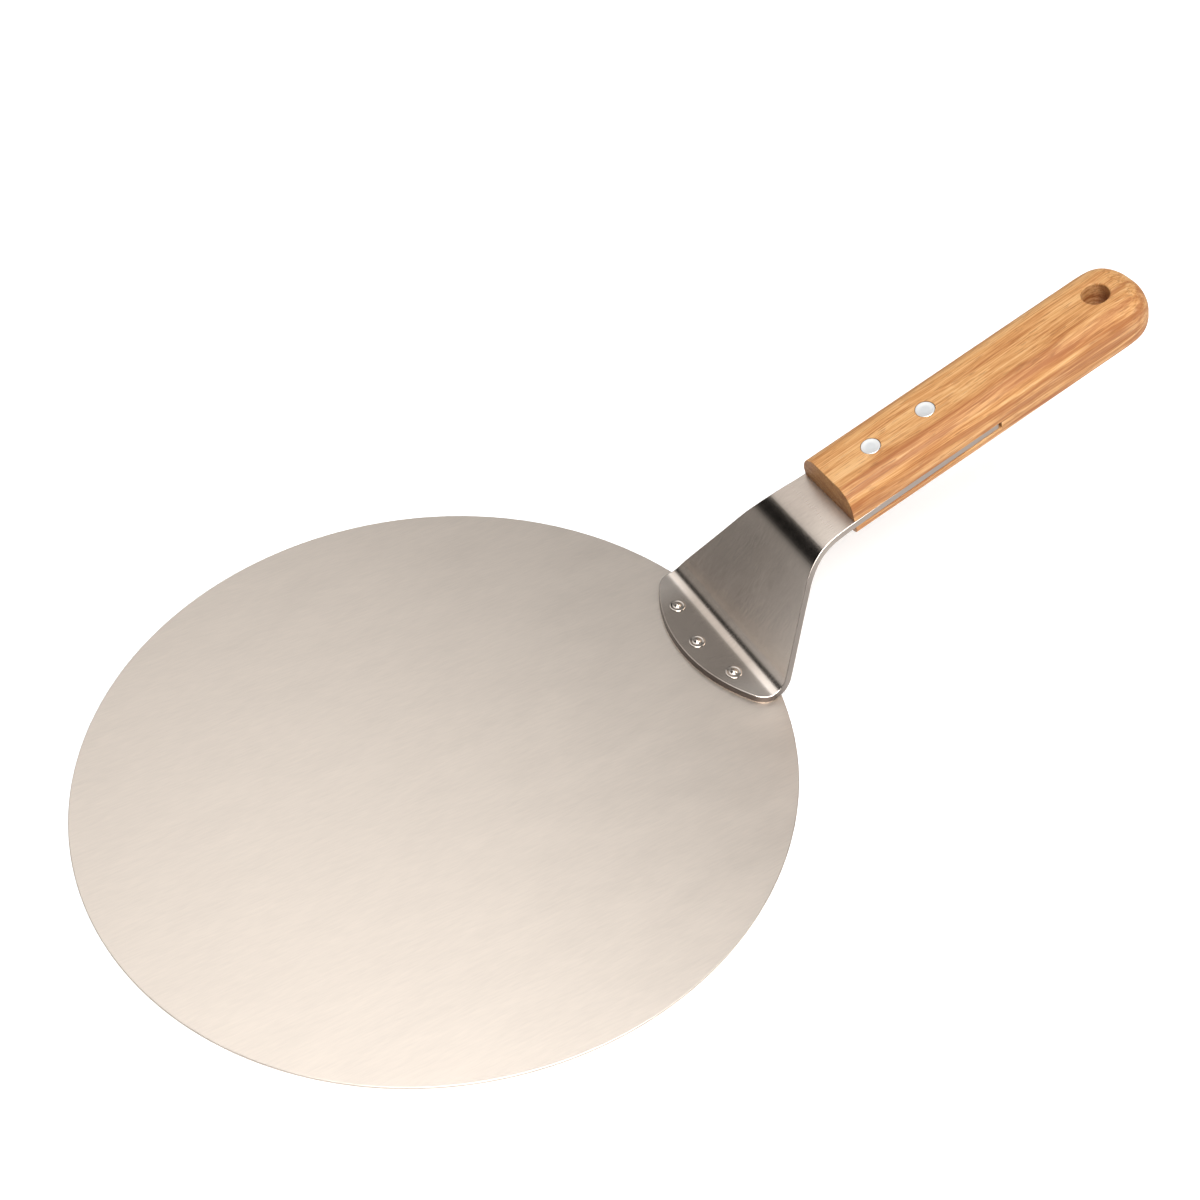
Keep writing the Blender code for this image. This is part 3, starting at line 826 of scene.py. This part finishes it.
def handle_wood():
    """Pale reddish hardwood, its grain along X: growth layers, fibres and short dark pores."""
    nodes = Nodes("handle_wood_fine")
    place = nodes.attribute("own")
    drift = nodes.vector_math(
        "SUBTRACT", nodes.noise(place, (0.060, 0.016, 0.016), 1.0, colour=True), (0.5, 0.5, 0.5)
    )
    drift = nodes.vector_math("MULTIPLY", drift, (0, 0.0045, 0.0045))
    warped = nodes.vector_math("ADD", place, drift)
    from_pith = nodes.vector_math("SUBTRACT", warped, (0, 0.012, -0.055))
    radius = nodes.vector_math("LENGTH", nodes.vector_math("MULTIPLY", from_pith, (0.06, 1, 1)))
    layer_place = nodes.add("ShaderNodeCombineXYZ", {"X": radius}).outputs[0]
    layers = nodes.noise(layer_place, (0.0021, 1, 1), detail=3.0, roughness=0.6)
    patches = nodes.noise(warped, (0.070, 0.0036, 0.0036), detail=2.0, roughness=0.5)
    fibres = nodes.noise(warped, (0.022, 0.00060, 0.00060), detail=4.0, roughness=0.62)
    pores = nodes.noise(warped, (0.0065, 0.00045, 0.00045), detail=1.0)
    heart = nodes.noise(warped, (0.048, 0.0032, 0.0032), detail=3.0, roughness=0.6)
    tone = nodes.math("MULTIPLY", layers, 0.36)
    tone = nodes.math("MULTIPLY_ADD", patches, 0.24, tone)
    tone = nodes.math("MULTIPLY_ADD", fibres, 0.40, tone)
    colour = nodes.ramp(
        tone,
        [
            (0.38, (0.36, 0.125, 0.034)),
            (0.455, (0.51, 0.222, 0.072)),
            (0.51, (0.63, 0.325, 0.120)),
            (0.575, (0.73, 0.430, 0.195)),
        ],
    )
    _, across, height = nodes.add("ShaderNodeSeparateXYZ", {0: place}).outputs
    heart = nodes.math("MULTIPLY_ADD", across, -8.5, heart)
    heart_mask = nodes.remap(heart, 0.57, 0.70, 0.0, 0.75)
    colour = nodes.mix(heart_mask, colour, (0.36, 0.120, 0.036, 1.0))
    pore_mask = nodes.remap(pores, 0.60, 0.67, 0.0, 0.5)
    colour = nodes.mix(pore_mask, colour, (0.28, 0.11, 0.035, 1.0))
    end_grain_and_shade = wood_end_grain_and_shade(nodes, place, height)
    # Front face mixed towards dark brown: the end grain's own colour and painted shade.
    colour = nodes.mix(end_grain_and_shade, colour, (0.18, 0.078, 0.028, 1.0))
    rough = nodes.remap(fibres, 0.3, 0.7, 0.58, 0.46)
    relief = nodes.math("MULTIPLY_ADD", pore_mask, -0.8, fibres)
    normal = nodes.bump(relief, 0.00004)
    return nodes.finish(Base_Color=colour, Roughness=rough, Specular_IOR_Level=0.35, Normal=normal)


# Stage.


def floor():
    """Pale paper with a painted glow that grows away from the object, so that it meets the white
    backdrop; near the object the glow also lightens the shade on the floor.
    """
    size = FLOOR_HALF_SIZE
    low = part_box("blade_disc")[0].z - FLOOR_DROP
    corners = [(-size, -size, low), (size, -size, low), (size, size, low), (-size, size, low)]
    plane = build_object("floor", corners, [(0, 1, 2, 3)])
    nodes = Nodes("floor_paper_painted_glow")
    place = nodes.add("ShaderNodeTexCoord").outputs["Object"]
    grain = nodes.noise(place, (0.004, 0.004, 0.004), detail=2.0)
    colour = nodes.mix(grain, (0.90, 0.90, 0.90, 1.0), (0.93, 0.93, 0.93, 1.0))
    distance = nodes.vector_math("LENGTH", place)
    paper = nodes.finish(
        Base_Color=colour,
        Roughness=0.9,
        Specular_IOR_Level=0.1,
        # Painted glow: the floor emits light, weaker near the object and stronger further away.
        Emission_Color=(1.0, 1.0, 1.0, 1.0),
        Emission_Strength=nodes.remap(distance, 0.5, 1.8, 0.34, 1.0),
    )
    plane.data.materials.append(paper)
    plane.visible_glossy = False


def softbox(name, place, aim, size, radiance):
    """Rectangular light that shines with the given radiance towards aim."""
    lamp = bpy.data.lights.new(name, "AREA")
    lamp.shape = "RECTANGLE"
    lamp.size, lamp.size_y = size
    lamp.energy = radiance * math.pi * size[0] * size[1]
    obj = bpy.data.objects.new(name, lamp)
    obj.location = place
    obj.rotation_euler = (Vector(aim) - Vector(place)).to_track_quat("-Z", "Y").to_euler()
    obj.visible_camera = False
    bpy.context.scene.collection.objects.link(obj)


def surroundings():
    """White backdrop to the camera; to light and reflections, a room pale below and dark above."""
    scene = bpy.context.scene
    world = bpy.data.worlds.new("studio")
    world.use_nodes = True
    scene.world = world
    tree = world.node_tree
    backdrop = tree.nodes["Background"]
    backdrop.inputs["Color"].default_value = (1, 1, 1, 1)
    room = tree.nodes.new("ShaderNodeBackground")
    height = tree.nodes.new("ShaderNodeSeparateXYZ")
    halved = tree.nodes.new("ShaderNodeMath")
    halved.operation = "MULTIPLY_ADD"
    halved.inputs[1].default_value = 0.5
    halved.inputs[2].default_value = 0.5
    ramp = tree.nodes.new("ShaderNodeValToRGB")
    for _ in ROOM_TONES[2:]:
        ramp.color_ramp.elements.new(0.5)
    for element, (sine, tone) in zip(ramp.color_ramp.elements, ROOM_TONES):
        element.position = 0.5 + 0.5 * sine
        element.color = (tone, tone, tone, 1)
    path = tree.nodes.new("ShaderNodeLightPath")
    mix = tree.nodes.new("ShaderNodeMixShader")
    direction = tree.nodes.new("ShaderNodeTexCoord").outputs["Generated"]
    tree.links.new(direction, height.inputs[0])
    tree.links.new(height.outputs["Z"], halved.inputs[0])
    tree.links.new(halved.outputs[0], ramp.inputs["Fac"])
    tree.links.new(ramp.outputs["Color"], room.inputs["Color"])
    tree.links.new(path.outputs["Is Camera Ray"], mix.inputs[0])
    tree.links.new(room.outputs[0], mix.inputs[1])
    tree.links.new(backdrop.outputs[0], mix.inputs[2])
    tree.links.new(mix.outputs[0], tree.nodes["World Output"].inputs["Surface"])


def studio():
    bpy.context.scene.view_settings.view_transform = "Standard"
    surroundings()
    for softbox_settings in SOFTBOXES:
        softbox(*softbox_settings)


def camera():
    lens = bpy.data.cameras.new("photo_view")
    lens.lens = CAMERA_LENS
    lens.sensor_width = 36.0
    lens.clip_start, lens.clip_end = 0.01, 50.0
    obj = bpy.data.objects.new("photo_view", lens)
    obj.location = CAMERA_PLACE
    obj.rotation_euler = CAMERA_TURN
    bpy.context.scene.collection.objects.link(obj)
    bpy.context.scene.camera = obj


def build():
    blade_steel = brushed_steel("blade_steel_fine", (0.925, 0.825, 0.73), 0.42)
    rivet_steel = brushed_steel("rivet_steel_fine", (0.70, 0.62, 0.55), 0.17, (0.001, 0.001, 0.001))
    metals = {
        "tube": turned_aluminium("rivet_tube_fine", (0.93, 0.93, 0.92), 0.34),
        "pin": turned_aluminium("rivet_pin_fine", (0.90, 0.90, 0.89), 0.36),
    }
    blade_disc(blade_steel)
    neck_bracket(neck_steel())
    blade_rivets(rivet_steel)
    handle(handle_wood())
    handle_rivets(metals)
    floor()
    studio()
    camera()


build()
